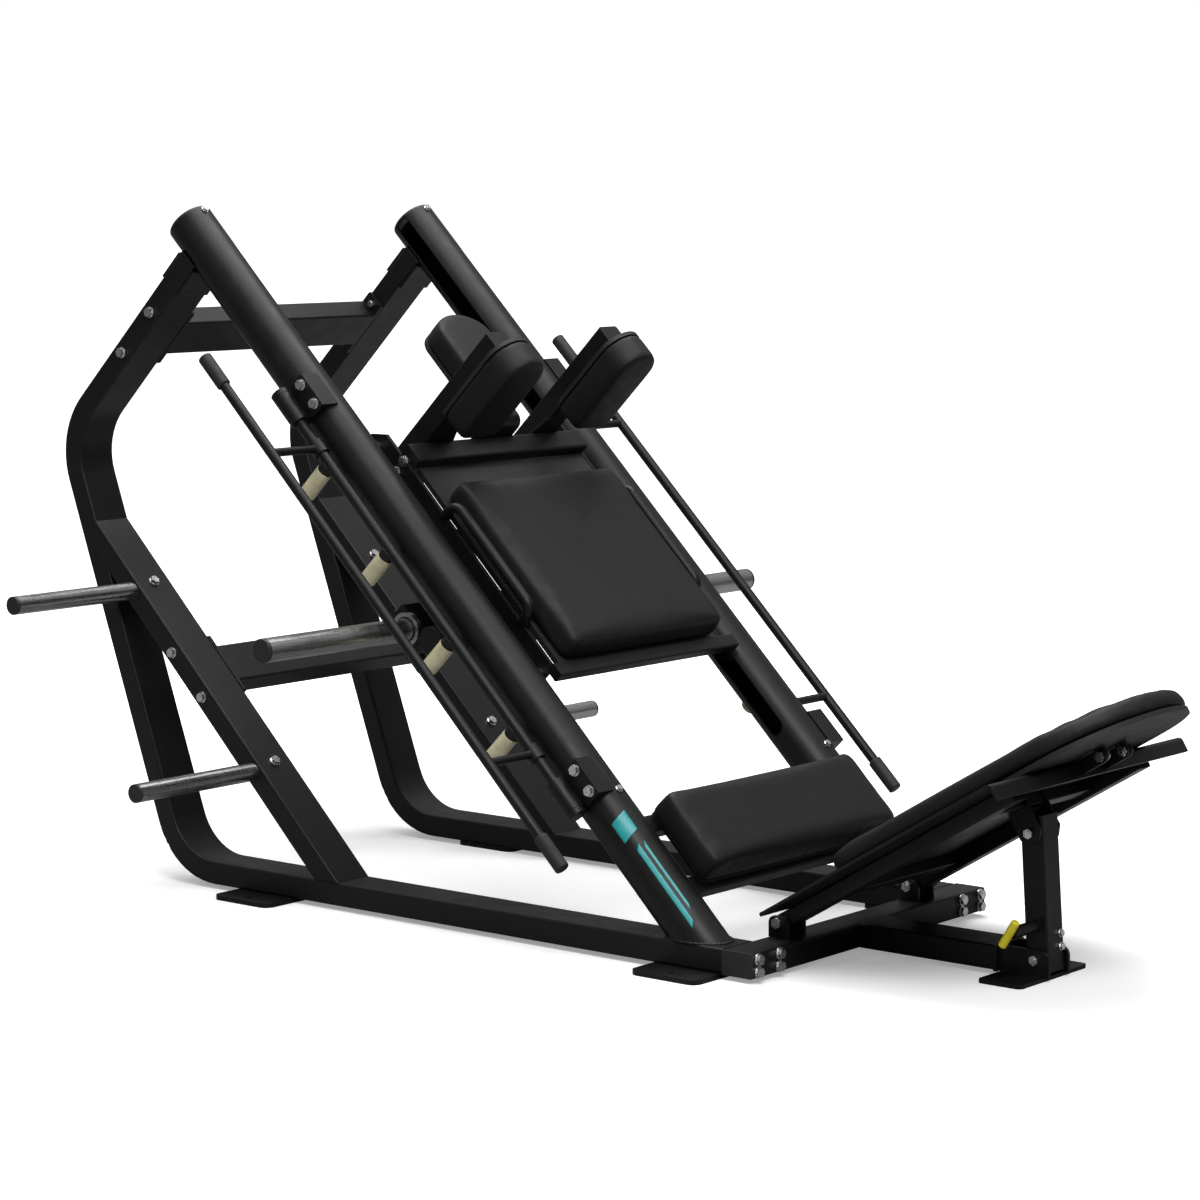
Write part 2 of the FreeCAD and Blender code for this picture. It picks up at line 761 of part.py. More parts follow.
for lock_s in lock_positions:
    centre = (shaft_x, lock_s)
    sleeve_top = shaft_t - lock_peg_top
    lever_pieces.append(rod(2, sleeve_tip + 6, shaft_t, centre, lock_peg_radius))
    lever_pieces.append(rod(2, sleeve_top + 0.5, shaft_t, centre, lock_sleeve_radius - 1))
    sleeve = rod(2, sleeve_tip, sleeve_top, centre, lock_sleeve_radius)
    sleeve = sleeve.makeFillet(3.0, [e for e in sleeve.Edges if e.BoundBox.ZMax < sleeve_tip + 1])
    sleeves.append(sleeve.cut(rod(2, sleeve_tip + 5.8, sleeve_top + 1, centre,
                                  lock_peg_radius + sleeve_fit)))
add_pair("lever_{}", weld(*lever_pieces), frame=TRACK)
add_pair("lock_sleeves_{}", *sleeves, frame=TRACK)
grips = []
for grip_low, bore_low in ((lever_low, lever_low + 3.8), (lever_high - lever_grip_length,
                                                         lever_high - lever_grip_length - 1)):
    grip = rod(1, grip_low, grip_low + lever_grip_length, (lever_x, shaft_t), lever_grip_radius)
    grip = grip.makeFillet(4.0, [grip.Edges[0], grip.Edges[2]])
    grip_bore = rod(1, bore_low, bore_low + lever_grip_length - 2.8, (lever_x, shaft_t),
                    lever_radius + sleeve_fit)
    grips.append(grip.cut(grip_bore))
add_pair("lever_grips_{}", *grips, frame=TRACK)

# ---------------------------------------------------------------- carriage sides and rollers
plate_faces = (side_plate_x - side_plate_thick / 2, side_plate_x + side_plate_thick / 2)
beam_top = -horn_drop + beam_size[1] / 2
end_cut = 30.0
side_outline = [
    (side_plate_low, -side_plate_half + end_cut),
    (side_plate_low + end_cut, -side_plate_half),
    (web_low - 40, -side_plate_half),
    (web_low, beam_top + 22),
    (web_low, beam_top),
    (web_high, beam_top),
    (web_high, beam_top + 22),
    (web_high + 40, -side_plate_half),
    (side_plate_high - end_cut, -side_plate_half),
    (side_plate_high, -side_plate_half + end_cut),
    (side_plate_high, side_plate_half - end_cut),
    (side_plate_high - end_cut, side_plate_half),
    (side_plate_low, side_plate_half),
]
side_plate = slab(0, plate_faces[0], plate_faces[1], side_outline)
side_plate = side_plate.cut(rod(0, 0, 400, (carriage_rest, -latch_drop), latch_radius))
add_pair("carriage_side_{}", side_plate, frame=TRACK)

roller_faces = (tube_x - roller_width / 2, tube_x + roller_width / 2)
for roller_s, place in ((roller_low, "lower"), (roller_high, "upper")):
    centre = (roller_s, 0)
    roller = rod(0, roller_faces[0], roller_faces[1], centre, roller_radius)
    roller = roller.makeChamfer(2.0, [roller.Edges[0], roller.Edges[2]])
    roller = roller.cut(rod(0, 0, 600, centre, axle_radius + bore_fit))
    dish = rod(0, roller_faces[0] - 1, roller_faces[0] + 5, centre, 32).cut(
        rod(0, roller_faces[0] - 2, roller_faces[0] + 6, centre, axle_collar_radius + 3))
    add_pair("roller_" + place + "_{}", roller.cut(dish), frame=TRACK)
    axle = weld(
        rod(0, plate_faces[0] - 8, roller_faces[1] + running_gap + 4, centre, axle_radius),
        hexagon(axle_collar_radius + 2, 8, V(plate_faces[0] - 8, roller_s, 0), X_AXIS),
        rod(0, plate_faces[1], roller_faces[0] - running_gap, centre, axle_collar_radius),
        rod(0, roller_faces[1] + running_gap, roller_faces[1] + running_gap + 4, centre,
            axle_collar_radius),
    )
    add_pair("roller_axles", axle, frame=TRACK)
    drill_pair(["carriage_side_{}"], rod(0, 0, 400, centre, axle_radius), TRACK)

# ---------------------------------------------------------------- carriage cross members
inner_half = plate_faces[0]
add("carriage_cross_tubes", tube(0, -lower_cross_half, lower_cross_half,
                                 (lower_cross_s, lower_cross_t), lower_cross_size, 3, 4, 3), frame=TRACK)
add("carriage_upper_cross", tube(0, -inner_half, inner_half, (upper_cross_s, upper_cross_t),
                                 upper_cross_size, cross_wall, rail_corner, cross_wall), frame=TRACK)
rail_t = back_pad_bottom - board_thick - pad_rail_size[1] / 2
for rail_s in pad_rail_positions:
    add("carriage_cross_tubes", tube(0, -inner_half, inner_half, (rail_s, rail_t), pad_rail_size, 2.5, 4),
        frame=TRACK)
latch = rod(0, -latch_half, latch_half, (carriage_rest, -latch_drop), latch_radius)
add("latch_bar", latch.makeChamfer(2.0, [latch.Edges[0], latch.Edges[2]]), frame=TRACK)
horn_centre = (horn_s, -horn_drop)
add("horn_beam", tube(0, -beam_half, beam_half, horn_centre, beam_size, 4, rail_corner, 6), frame=TRACK)
horn_end = horn_base + horn_length
horn_flange = rod(0, beam_half, horn_base, horn_centre, horn_flange_radius)
horn = rod(0, horn_base, horn_end, horn_centre, horn_radius)
horn_cap = rod(0, horn_end, horn_end + horn_cap_thick, horn_centre, horn_radius)
add_pair("horns", horn_flange, horn, frame=TRACK)
add_pair("horn_caps", horn_cap.makeFillet(3.0, [horn_cap.Edges[0]]), frame=TRACK)
for bolt_t in (upper_cross_t - 20, upper_cross_t + 12):
    bolt_pair(
        "carriage_bolts",
        V(plate_faces[1], upper_cross_s, bolt_t),
        X_AXIS * -1,
        side_plate_thick + cross_wall,
        ["carriage_side_{}", "carriage_upper_cross"],
        TRACK,
    )

# ---------------------------------------------------------------- carriage upholstery
board_bottom = back_pad_bottom - board_thick
back_board_half = side_plate_x - grip_bar_radius - back_board_gap
back_board_high = upper_cross_s - upper_cross_size[0] / 2 - back_board_gap
back_board = block((-back_board_half, back_board_half), (back_pad_low, back_board_high),
                   (board_bottom, back_pad_bottom))
add("pad_boards", back_board, frame=TRACK)
add("back_pad", cushion_block(back_pad_width, back_pad_low, back_pad_high, back_pad_bottom,
                              back_pad_thick), frame=TRACK)
handle_path = [
    (grip_bar_low, side_plate_half),
    (grip_bar_low, grip_bar_t),
    (grip_bar_high, grip_bar_t),
    (grip_bar_high, side_plate_half),
]
add_pair("side_handles", bent_rod(side_plate_x, handle_path, grip_bar_bend, grip_bar_radius), frame=TRACK)

arm_face = upper_cross_s + upper_cross_size[0] / 2
arm_mid = arm_face + shoulder_arm_depth / 2
arm = bar(2, shoulder_arm_bottom, shoulder_arm_top, (shoulder_x, arm_mid),
          (shoulder_arm_width, shoulder_arm_depth), rail_corner)
arm_bore = bar(2, shoulder_arm_bottom + 3, shoulder_arm_top - 3, (shoulder_x, arm_mid),
               (shoulder_arm_width - 6, shoulder_arm_depth - 6), 2)
arm_inner = shoulder_x - shoulder_arm_width / 2
gusset = slab(1, arm_face, arm_face + gusset_thick, [
    (arm_inner + 1, 0),
    (arm_inner + 1, shoulder_gusset[1]),
    (arm_inner - 10, shoulder_gusset[1]),
    (arm_inner - shoulder_gusset[0], 60),
    (arm_inner - shoulder_gusset[0], 0),
])
add_pair("shoulder_arms", weld(arm.cut(arm_bore), gusset.cut(arm_bore)), frame=TRACK)
shoulder_board_face = arch(shoulder_pad_width, shoulder_pad_low, shoulder_pad_high, pad_corner,
                           shoulder_pad_width / 2 - 3, 4)
shoulder_face = arch(shoulder_pad_width, shoulder_pad_low, shoulder_pad_high, pad_corner,
                     shoulder_pad_width / 2 - 3)
SHOULDER = TRACK.multiply(FreeCAD.Placement(V(0, arm_face, 0), FreeCAD.Rotation(X_AXIS, 90)))
to_shoulder = FreeCAD.Placement(V(shoulder_x, 0, 0), FreeCAD.Rotation())
shoulder_board_solid = placed(shoulder_board_face, to_shoulder).extrude(Z_AXIS * shoulder_board)
add_pair("pad_boards", shoulder_board_solid, frame=SHOULDER)
shoulder_solid = cushion(placed(shoulder_face, to_shoulder), shoulder_board, shoulder_pad_thick, pad_round)
add_pair("shoulder_pad_{}", shoulder_solid, frame=SHOULDER)

head_rise = 62.0
head_face = arch(head_pad_width, head_pad_low, head_pad_high, pad_corner, head_rise)
head_board_face = arch(head_pad_width, head_pad_low, head_pad_high, pad_corner, head_rise, 4)
to_head_board = FreeCAD.Placement(V(0, 0, head_pad_bottom - head_board), FreeCAD.Rotation())
add("pad_boards", placed(head_board_face, to_head_board).extrude(Z_AXIS * head_board), frame=TRACK)
add("head_pad", cushion(head_face, head_pad_bottom, head_pad_thick, pad_round), frame=TRACK)
bracket_mid = head_bracket_thick / 2
bracket_t = head_pad_bottom - head_board - bracket_mid
bracket_points = [
    V(0, arm_face + bracket_mid, upper_cross_t - 20),
    V(0, arm_face + bracket_mid, bracket_t),
    V(0, head_pad_high - 40, bracket_t),
]


def bracket_section(origin, run):
    return section(origin, run, head_bracket_width, head_bracket_thick, 1.0)


bracket_foot = bar(1, arm_face, arm_face + head_bracket_thick, (0, upper_cross_t), head_bracket_foot, 8)
add("head_bracket", weld(bent_bar(bracket_points, head_bracket_bend, bracket_section), bracket_foot),
    frame=TRACK)
bolt_pair(
    "carriage_bolts",
    V(head_bracket_bolt_x, arm_face + head_bracket_thick, upper_cross_t),
    Y_AXIS * -1,
    head_bracket_thick + cross_wall,
    ["head_bracket", "carriage_upper_cross"],
    TRACK,
)

# ---------------------------------------------------------------- foot board
def tread_section(origin, run):
    return section(origin, run, tread_width, tread_thick, 1.0)


tread_mid = -tread_thick / 2
tread_points = [
    V(0, 0, tread_mid),
    V(0, tread_length + tread_mid, tread_mid),
    V(0, tread_length + tread_mid, -tread_lip),
]
tread = bent_bar(tread_points, tread_bend, tread_section)
tread_plan = bar(2, -tread_lip - 1, 1, (0, tread_length / 2 + 50), (tread_width, tread_length + 100),
                 tread_corner)
add("foot_board", tread.common(tread_plan), frame=TREAD)

arm_centre = (tread_arm_x, -tread_thick - tread_arm_height / 2)
tread_arm = tube(1, pivot_a - 16, tread_arm_end, arm_centre, (tread_arm_width, tread_arm_height),
                 3, 4, 3)
pivot_bore = rod(0, 0, 400, (pivot_a, pivot_o), pivot_radius + bore_fit)
ear_low = post_width / 2 + ear_gap
ear_outline = [
    (post_head_a - 26, -tread_thick),
    (post_head_a + 26, -tread_thick),
    (post_head_a + 26, post_head_o - 4),
    (post_head_a + 12, post_head_o - 22),
    (post_head_a - 12, post_head_o - 22),
    (post_head_a - 26, post_head_o - 4),
]
head_slack = 1.6            # the folding linkage is approximated, so the head bolt has room in its ears
ear = slab(0, ear_low, ear_low + ear_thick, ear_outline)
ear = ear.cut(rod(0, 0, 100, (post_head_a, post_head_o), bolt_radius + head_slack))
fold_low = fold_ear_x - fold_ear_thick / 2
fold_ear = weld(
    block((fold_low, fold_low + fold_ear_thick), (tread_length, fold_a), (fold_o - 14, fold_o + 14)),
    rod(0, fold_low, fold_low + fold_ear_thick, (fold_a, fold_o), 14),
)
fold_ear = fold_ear.cut(rod(0, 0, 100, (fold_a, fold_o), fold_radius + bore_fit))
stiffener_reach = tread_arm_x - tread_arm_width / 2
stiffener_size = (stiffener_width, stiffener_height)
for stiffener_a in stiffener_positions:
    stiffener_centre = (stiffener_a, -tread_thick - stiffener_height / 2)
    stiffener = tube(0, -stiffener_reach, stiffener_reach, stiffener_centre, stiffener_size, 2.5, 3)
    add("foot_board_frame", stiffener, frame=TREAD)
    ear = ear.cut(bar(0, 0, stiffener_reach, stiffener_centre, stiffener_size, 3))
add_pair("foot_board_frame", tread_arm.cut(pivot_bore), ear, fold_ear, frame=TREAD)

pivot = TREAD.multVec(V(0, pivot_a, pivot_o))
cheek_gap = tread_arm_width / 2 + clevis_gap
clevis_rear = rail_front_y - 1
for cheek_x in (tread_arm_x - cheek_gap - clevis_thick, tread_arm_x + cheek_gap):
    cheek = block(
        (cheek_x, cheek_x + clevis_thick),
        (clevis_rear - clevis_depth, clevis_rear),
        (rail_top_z, rail_top_z + clevis_height),
    )
    top_edges = [e for e in cheek.Edges if abs(e.Curve.Direction.x) > 0.9
                 and e.BoundBox.ZMin > rail_top_z + 1]
    cheek = cheek.makeFillet(14.0, top_edges)
    add_pair("plate_clevises", cheek.cut(rod(0, 0, 400, (pivot.y, pivot.z), pivot_radius + bore_fit)))
pivot_half = cheek_gap + clevis_thick
pivot_bolt = weld(
    rod(0, tread_arm_x - pivot_half - 10, tread_arm_x + pivot_half + 4, (pivot.y, pivot.z), pivot_radius),
    hexagon(head_radius + 1, head_height, V(tread_arm_x + pivot_half, pivot.y, pivot.z), X_AXIS),
    hexagon(head_radius + 1, head_height, V(tread_arm_x - pivot_half, pivot.y, pivot.z), X_AXIS * -1),
)
add_pair("pivot_bolts", pivot_bolt)

# ---------------------------------------------------------------- telescopic post
bracket_low = post_width / 2 + bracket_gap
base = block((-bracket_width / 2, bracket_width / 2), (bracket_front_y + 10, bracket_rear_y - 2),
             (0, bracket_plate))
base = round_corners(base, 2, 12)
for base_x in (-bracket_width / 2 + 24, bracket_width / 2 - 24):
    base = base.cut(rod(2, -1, bracket_plate + 1, (base_x, (bracket_front_y + bracket_rear_y) / 2 + 4),
                        anchor_hole))
bracket_top = bracket_plate + bracket_side_height
cheek = block((bracket_low, bracket_low + bracket_plate), (bracket_front_y, center_tube_end_y),
              (bracket_plate, bracket_top))
front_edges = [e for e in cheek.Edges if abs(e.Curve.Direction.x) > 0.9
               and e.BoundBox.YMax < bracket_front_y + 1 and e.BoundBox.ZMin > bracket_plate + 1]
cheek = cheek.makeFillet(20.0, front_edges)
back_wall = block((-rail_width / 2, rail_width / 2), (center_tube_end_y - bracket_plate, center_tube_end_y),
                  (bracket_plate, bracket_top))
foot_bore = rod(0, -200, 200, (post_foot.y, post_foot.z), bolt_radius + bore_fit)
bracket = weld(base, cheek, with_side(cheek, LEFT), back_wall)
add("post_bracket", bracket.cut(foot_bore))
foot_half = bracket_low + bracket_plate
foot_bolt = weld(
    rod(0, -foot_half - 9, foot_half + 3, (post_foot.y, post_foot.z), bolt_radius),
    hexagon(head_radius, head_height, V(foot_half, post_foot.y, post_foot.z), X_AXIS),
    hexagon(head_radius, head_height, V(-foot_half, post_foot.y, post_foot.z), X_AXIS * -1),
)
add("pivot_bolts", foot_bolt)

inner_wall = post_wall + post_fit
inner_size = (post_width - 2 * inner_wall, post_depth - 2 * inner_wall)
inner_low = -20.0
inner = tube(2, inner_low, inner_low + inner_length, (0, 0), inner_size, post_wall, 3)
inner = inner.cut(rod(0, -50, 50, (0, 0), bolt_radius + bore_fit))
slot_half = pin_radius + 0.4
slot_reach = (pin_height, inner_low + inner_length + 1)
pin_slot = block((-post_width / 2, -10), (-slot_half, slot_half), slot_reach)
for hole_q in (pin_height, pin_height + 40, pin_height + 80):
    pin_slot = pin_slot.fuse(rod(0, -post_width / 2, -10, (0, hole_q), pin_radius + 2.5))
add("post_inner", inner.cut(pin_slot), frame=POST)

sleeve_top_q = post_rest + post_above
sleeve = tube(2, -post_below, sleeve_top_q, (0, 0), (post_width, post_depth), post_wall, 4)
notch = weld(
    block((-50, 50), (-bolt_radius - 1.5, bolt_radius + 1.5), (-post_below - 5, 2)),
    rod(0, -50, 50, (0, 2), bolt_radius + 1.5),
)
sleeve = sleeve.cut(notch)
sleeve = sleeve.cut(rod(0, -50, 50, (0, post_rest), bolt_radius + bore_fit))
housing_end = -post_width / 2 - pin_housing_length
housing = rod(0, housing_end, -post_width / 2, (0, pin_height), pin_housing_radius)
sleeve = weld(sleeve, housing).cut(rod(0, -200, 0, (0, pin_height), pin_radius + bore_fit))
add("post_sleeve", sleeve, frame=POST)
head_half = ear_low + ear_thick + ear_gap
head_bolt = weld(
    rod(0, -head_half - 9, head_half + 3, (0, post_rest), bolt_radius),
    hexagon(head_radius, head_height, V(head_half, 0, post_rest), X_AXIS),
    hexagon(head_radius, head_height, V(-head_half, 0, post_rest), X_AXIS * -1),
)
add("post_head_bolt", head_bolt, frame=POST)
for screw_q in (20.0, 46.0):
    screw = fastener(V(18, -post_depth / 2, screw_q), Y_AXIS, post_wall - 0.5, small_bolt_radius, False)
    add("post_head_bolt", screw, frame=POST)
    drill(["post_sleeve"], rod(1, -post_depth / 2 - 1, 0, (18, screw_q), small_bolt_radius), POST)

knob_x = housing_end - running_gap - pin_knob_radius
knob = Part.makeCylinder(pin_knob_radius, pin_knob_length, V(0, 0, -pin_knob_length / 2), Z_AXIS)
knob = knob.makeFillet(4.0, [knob.Edges[0], knob.Edges[2]])
knob = placed(knob, FreeCAD.Placement(V(knob_x, 0, pin_height), FreeCAD.Rotation(X_AXIS, 35)))
pin = rod(0, knob_x, -post_width / 2 + 12, (0, pin_height), pin_radius)
add("pull_pin", weld(pin, knob), frame=POST)

# ---------------------------------------------------------------- folding back pad on the foot board
press_face = arch(2 * press_pad_half, press_pad_low, press_pad_high, 50, press_pad_high - press_pad_straight)
press_board_face = arch(2 * press_pad_half, press_pad_low, press_pad_high, 50,
                        press_pad_high - press_pad_straight, 6)
to_board = FreeCAD.Placement(V(0, 0, press_board_gap), FreeCAD.Rotation())
press_board = placed(press_board_face, to_board).extrude(Z_AXIS * press_board_thick)
tab_high = fold_low - fold_ear_gap
tab_low = tab_high - fold_ear_thick
tab = weld(
    block((tab_low, tab_high), (fold_a - 12, fold_a + 12), (fold_o, press_board_gap + 1)),
    rod(0, tab_low, tab_high, (fold_a, fold_o), 12),
)
tab = tab.cut(rod(0, 0, 100, (fold_a, fold_o), fold_radius + bore_fit))
add("press_board", weld(press_board, tab, with_side(tab, LEFT)), frame=TREAD)
press_bottom = press_board_gap + press_board_thick
add("press_pad", cushion(press_face, press_bottom, press_pad_thick, 15), frame=TREAD)
fold_bolt = weld(
    rod(0, tab_low - 10, fold_low + fold_ear_thick + 4, (fold_a, fold_o), fold_radius),
    hexagon(head_radius, head_height, V(fold_low + fold_ear_thick, fold_a, fold_o), X_AXIS),
    hexagon(head_radius, head_height, V(tab_low - running_gap, fold_a, fold_o), X_AXIS * -1),
)
add_pair("fold_bolts", fold_bolt, frame=TREAD)

# ---------------------------------------------------------------- export, centred over the origin
everything = Part.Compound([solid for shapes in nodes.values() for solid in shapes])
bounds = everything.optimalBoundingBox(False, False)
shift = V(-(bounds.XMin + bounds.XMax) / 2, -(bounds.YMin + bounds.YMax) / 2, -bounds.ZMin)
os.makedirs("parts", exist_ok=True)
for name, shapes in sorted(nodes.items()):
    solids = [solid for shape in shapes for solid in shape.Solids]
    result = solids[0] if len(solids) == 1 else Part.Compound(solids)
    result = placed(result, FreeCAD.Placement(shift, FreeCAD.Rotation()))
    if not result.isValid():
        raise ValueError(name + " is not a valid solid")
    result.exportStep("parts/" + name + ".step")
print("pieces", len(nodes), "size", bounds.XLength, bounds.YLength, bounds.ZLength)
print("shift", shift.x, shift.y, shift.z)
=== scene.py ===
import json
import math

import bpy
import numpy as np
from mathutils import Matrix, Vector


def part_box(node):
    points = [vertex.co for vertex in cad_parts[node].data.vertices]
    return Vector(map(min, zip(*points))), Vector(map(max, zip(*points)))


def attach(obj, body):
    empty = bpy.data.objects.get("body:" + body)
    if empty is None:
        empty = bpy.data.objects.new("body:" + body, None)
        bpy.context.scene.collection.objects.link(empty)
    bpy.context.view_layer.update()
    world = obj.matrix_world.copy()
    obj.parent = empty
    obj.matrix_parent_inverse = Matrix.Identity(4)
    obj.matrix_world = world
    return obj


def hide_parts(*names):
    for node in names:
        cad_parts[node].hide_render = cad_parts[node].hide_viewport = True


# Hack squat and leg press machine: camera, studio, materials, upholstery and trim.
# Lengths are in metres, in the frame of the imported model.

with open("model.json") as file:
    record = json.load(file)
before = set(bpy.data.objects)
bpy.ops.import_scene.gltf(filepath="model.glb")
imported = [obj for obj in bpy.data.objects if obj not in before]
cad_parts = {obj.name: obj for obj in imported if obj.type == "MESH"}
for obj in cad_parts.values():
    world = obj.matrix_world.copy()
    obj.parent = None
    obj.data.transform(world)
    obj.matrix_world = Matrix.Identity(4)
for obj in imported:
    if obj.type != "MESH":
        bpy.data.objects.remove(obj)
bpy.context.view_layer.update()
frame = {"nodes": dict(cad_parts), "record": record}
NODES = frame["nodes"]

TRACK_ANGLE = math.radians(45.0)      # guide tubes above the floor
TREAD_ANGLE = math.radians(30.9)      # foot board above the floor
HORN_FLANGE = 0.012                   # thickness of the flange at a weight horn's root

# Upholstery
CLOTH_STEPS = 20
PAD_DRAW_IN = 0.0035                  # how far the CAD solid is drawn in before it swells
CORNER_REACH = 0.055                  # extent of the folds round a corner
CORNER_INSET = 0.026                  # their centre, in from the pad's sides
FOLD_DEPTH = 0.0011
FOLD_COUNT = 17.0                     # ripples per radian round the corner

# Trim
STRIPE_FILM = 0.00015
STRIPE_LIFT = 0.0002                  # film above the tube's face
STRIPE_SLANT = 0.012
STRIPES = (                           # start and end along the tube, first and last angle round it
    (0.283, 0.343, 22.0, 66.0),
    (0.062, 0.268, 36.0, 48.0),
    (0.096, 0.268, 56.0, 62.0),
)
FOOT_BEAD = 0.0032                    # radius of the weld bead round a guide tube's foot
HORN_BEAD = 0.0026
FOOT_BEAD_LIFT = 0.0006
BEAD_SIDES = 8

# Studio
FLOOR_HALF = 60.0
CAMERA_PLACE = Vector((-5.6636, -4.4648, 1.526))
CAMERA_HEADING = math.radians(51.24)  # from +Y towards +X
CAMERA_PITCH = math.radians(-6.83)
CAMERA_LENS = 103.25
SENSOR_WIDTH = 36.0


# ---------------------------------------------------------------- small helpers
def link(obj):
    bpy.context.scene.collection.objects.link(obj)
    return obj


def smooth(mesh):
    mesh.polygons.foreach_set("use_smooth", [True] * len(mesh.polygons))
    mesh.update()


def paint(obj, mat):
    """One material on a whole object."""
    obj.data.materials.clear()
    obj.data.materials.append(mat)


def mesh_object(name, verts, faces, mat, body):
    mesh = bpy.data.meshes.new(name)
    mesh.from_pydata([tuple(v) for v in verts], [], faces)
    mesh.validate()
    smooth(mesh)
    obj = link(bpy.data.objects.new(name, mesh))
    paint(obj, mat)
    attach(obj, body)
    return obj


def coordinates(mesh):
    flat = np.zeros(len(mesh.vertices) * 3)
    mesh.vertices.foreach_get("co", flat)
    return flat.reshape(-1, 3)


def node_points(name, turn):
    """A CAD node's points in a frame turned about X."""
    back = np.array(Matrix.Rotation(-turn, 3, "X"))
    return coordinates(NODES[name].data) @ back.T


# ---------------------------------------------------------------- material building
class Graph:
    """A node material under construction. Constant values stay on the shader's own sockets."""

    def __init__(self, name, **constants):
        self.mat = bpy.data.materials.new(name)
        self.mat.use_nodes = True
        self.tree = self.mat.node_tree
        self.shader = self.tree.nodes["Principled BSDF"]
        for socket, value in constants.items():
            self.shader.inputs[socket.replace("_", " ")].default_value = value
        self.coords = self.tree.nodes.new("ShaderNodeTexCoord").outputs["Object"]

    def node(self, kind, **settings):
        made = self.tree.nodes.new("ShaderNode" + kind)
        for key, value in settings.items():
            setattr(made, key, value)
        return made

    def join(self, source, target):
        self.tree.links.new(source, target)

    def stretch(self, scale):
        mapping = self.node("Mapping")
        mapping.inputs["Scale"].default_value = scale
        self.join(self.coords, mapping.inputs["Vector"])
        return mapping.outputs["Vector"]

    def cloud(self, scale, detail=3.0, vector=None, roughness=0.55):
        made = self.node("TexNoise")
        made.inputs["Scale"].default_value = scale
        made.inputs["Detail"].default_value = detail
        made.inputs["Roughness"].default_value = roughness
        self.join(vector or self.coords, made.inputs["Vector"])
        return made.outputs["Fac"]

    def cells(self, scale, feature="F1"):
        made = self.node("TexVoronoi", feature=feature)
        made.inputs["Scale"].default_value = scale
        self.join(self.coords, made.inputs["Vector"])
        return made.outputs["Distance"]

    def ramp(self, source, stops):
        made = self.node("ValToRGB")
        elements = made.color_ramp.elements
        while len(elements) < len(stops):
            elements.new(0.5)
        for element, (place, colour) in zip(elements, stops):
            element.position = place
            element.color = (*colour, 1.0)
        self.join(source, made.inputs["Fac"])
        return made.outputs["Color"]

    def spread(self, source, low, high, start=0.3, end=0.7):
        made = self.node("MapRange")
        for key, value in (("From Min", start), ("From Max", end), ("To Min", low), ("To Max", high)):
            made.inputs[key].default_value = value
        self.join(source, made.inputs["Value"])
        return made.outputs["Result"]

    def math(self, operation, first, second):
        made = self.node("Math", operation=operation)
        for index, value in enumerate((first, second)):
            if isinstance(value, (int, float)):
                made.inputs[index].default_value = value
            else:
                self.join(value, made.inputs[index])
        return made.outputs[0]

    def relief(self, layers, edge=0.0):
        """Bump layers on top of one another, each (height, strength, distance)."""
        normal = None
        if edge > 0:
            rounding = self.node("Bevel", samples=4)
            rounding.inputs["Radius"].default_value = edge
            normal = rounding.outputs["Normal"]
        for height, strength, distance in layers:
            bump = self.node("Bump")
            bump.inputs["Strength"].default_value = strength
            bump.inputs["Distance"].default_value = distance
            self.join(height, bump.inputs["Height"])
            if normal:
                self.join(normal, bump.inputs["Normal"])
            normal = bump.outputs["Normal"]
        self.join(normal, self.shader.inputs["Normal"])

    def colour(self, source):
        self.join(source, self.shader.inputs["Base Color"])

    def roughness(self, source):
        self.join(source, self.shader.inputs["Roughness"])


def grey(value):
    return (value, value, value * 1.02)


def powder_coat():
    """Satin black powder coat with fine orange peel."""
    made = Graph("powder_coat", Specular_IOR_Level=0.27)
    tone = made.cloud(5.0, 4.0)
    made.colour(made.ramp(tone, ((0.3, grey(0.0040)), (0.7, grey(0.0062)))))
    made.roughness(made.spread(made.cloud(26.0, 5.0), 0.36, 0.47))
    peel = made.cloud(420.0, 2.0)
    grit = made.cloud(1500.0, 2.0)
    made.relief(((peel, 0.12, 0.0006), (grit, 0.10, 0.0002)), edge=0.0014)
    return made.mat


def vinyl():
    """Black upholstery vinyl with a pebbled leather grain."""
    made = Graph("vinyl", Specular_IOR_Level=0.24)
    tone = made.cloud(7.0, 4.0)
    made.colour(made.ramp(tone, ((0.3, grey(0.0062)), (0.7, grey(0.0088)))))
    grain = made.cells(620.0, "SMOOTH_F1")
    pores = made.cells(1400.0, "DISTANCE_TO_EDGE")
    made.roughness(made.spread(made.cloud(40.0, 6.0), 0.48, 0.60))
    creases = made.cloud(30.0, 3.0)
    made.relief(((creases, 0.10, 0.002), (grain, 0.30, 0.0005), (pores, 0.12, 0.0002)))
    return made.mat


def brushed_steel():
    """Turned and brushed steel sleeve, with lines along its length."""
    made = Graph("brushed_steel", Metallic=1.0, Anisotropic=0.35)
    lines = made.cloud(1.0, 5.0, made.stretch((14.0, 900.0, 900.0)), 0.6)
    rings = made.cloud(1.0, 2.0, made.stretch((160.0, 8.0, 8.0)))
    made.colour(made.ramp(lines, ((0.25, (0.26, 0.26, 0.26)), (0.6, (0.46, 0.455, 0.45)),
                                  (0.85, (0.66, 0.65, 0.64)))))
    marks = made.math("ADD", lines, made.math("MULTIPLY", rings, 0.35))
    made.roughness(made.spread(marks, 0.20, 0.42, 0.4, 1.0))
    made.relief(((lines, 0.10, 0.0002),))
    return made.mat


